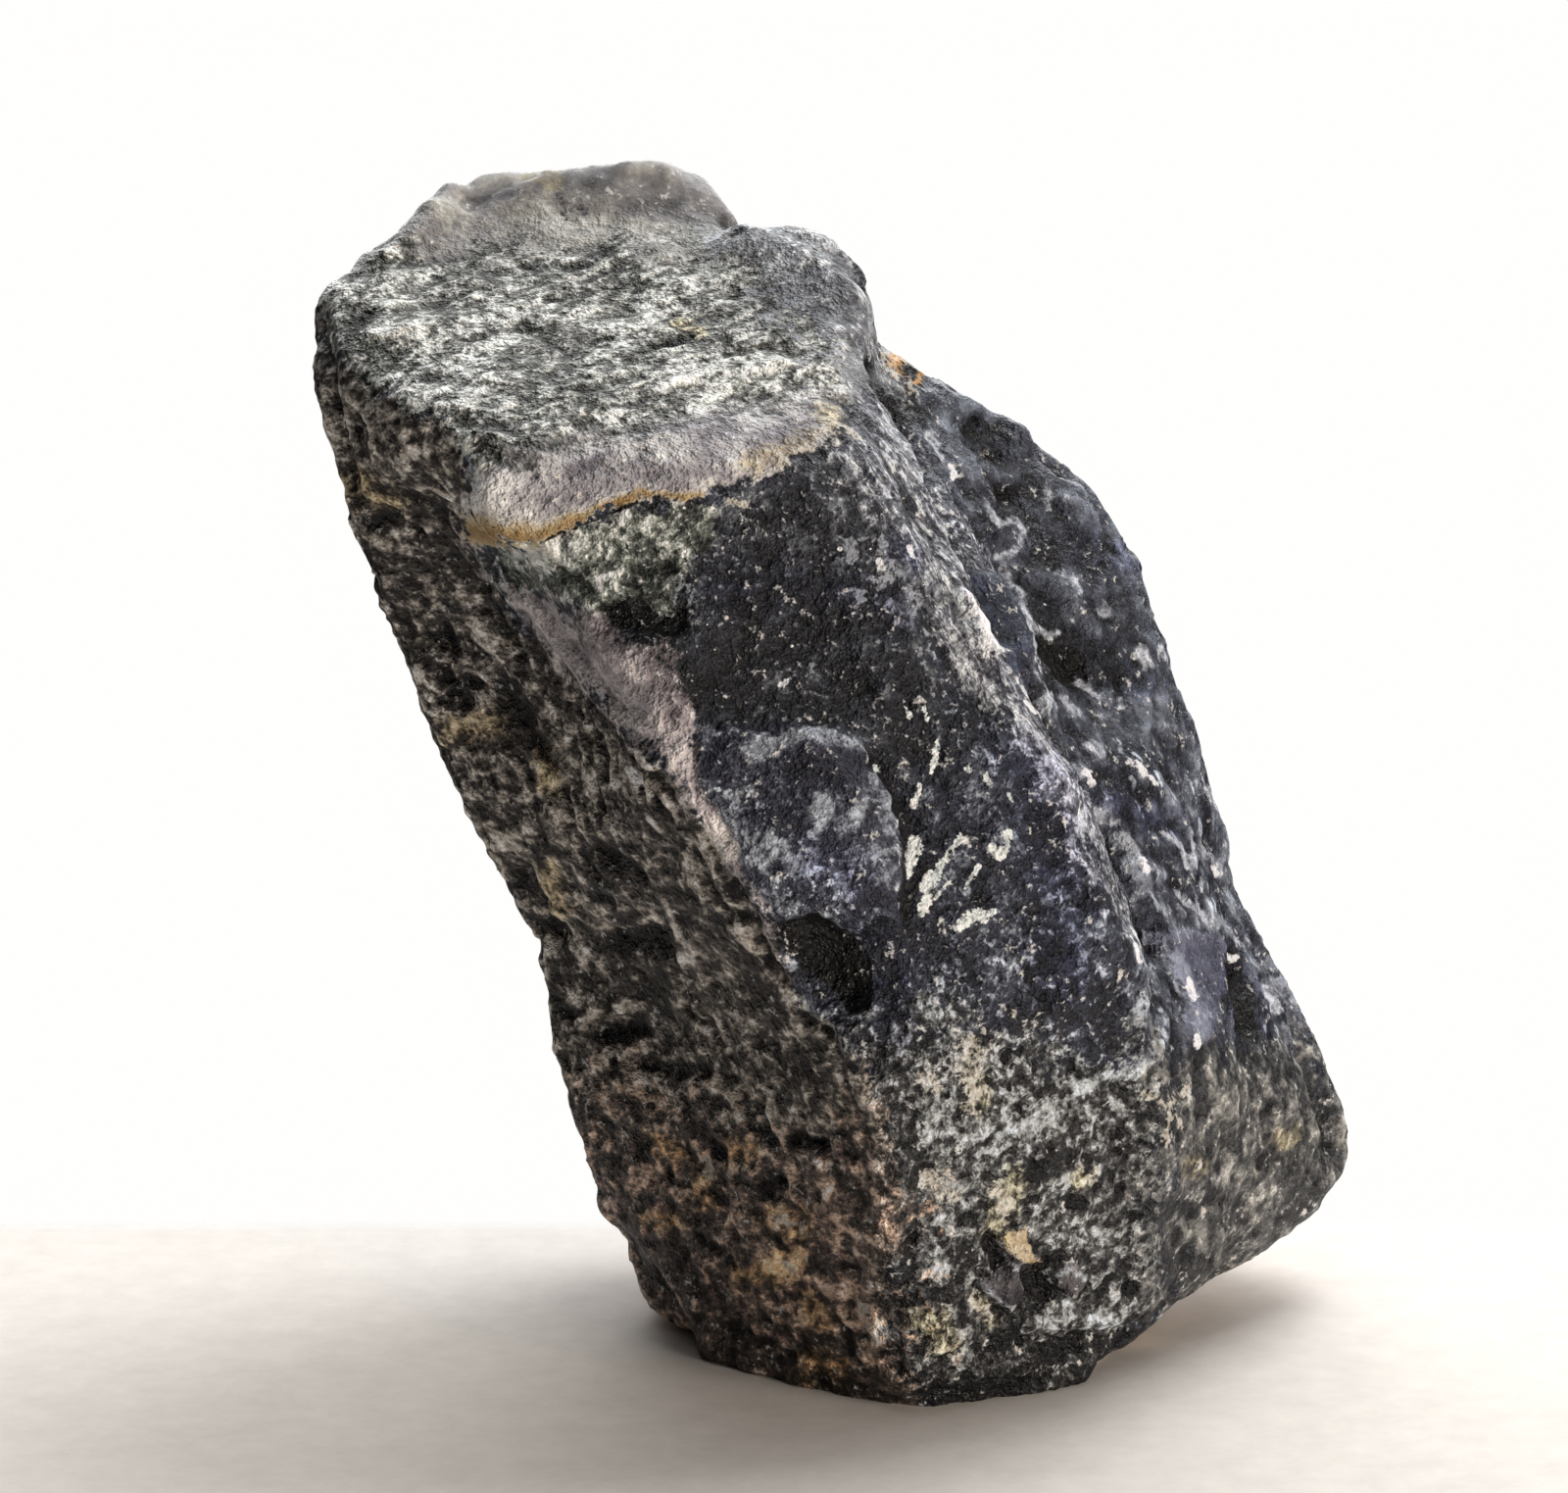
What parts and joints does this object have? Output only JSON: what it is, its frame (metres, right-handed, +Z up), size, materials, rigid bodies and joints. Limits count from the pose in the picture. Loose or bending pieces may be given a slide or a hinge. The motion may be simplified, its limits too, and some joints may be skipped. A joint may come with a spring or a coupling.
{
  "type": "rough iolite crystal",
  "caption": "Rough crystal of iolite that stands upright and leaning on its broken lower end: a blocky dark violet-grey prism with worn ridges, a side wing and a pale band.",
  "frame": {"origin": "middle of the stone's bounding box, on the surface that it stands on", "axes": "+Z up, along the height of the standing stone; +X to the right and +Y away, for a viewer who faces the front ridge"},
  "size_m": [0.0538, 0.0368, 0.0583],
  "materials": {
    "iolite": "rough broken silicate crystal, charcoal with a violet tint, mottled with pale grey and brown grains, glassy in places"
  },
  "bodies": {
    "root": {"crystal": "iolite"}
  },
  "joints": []
}
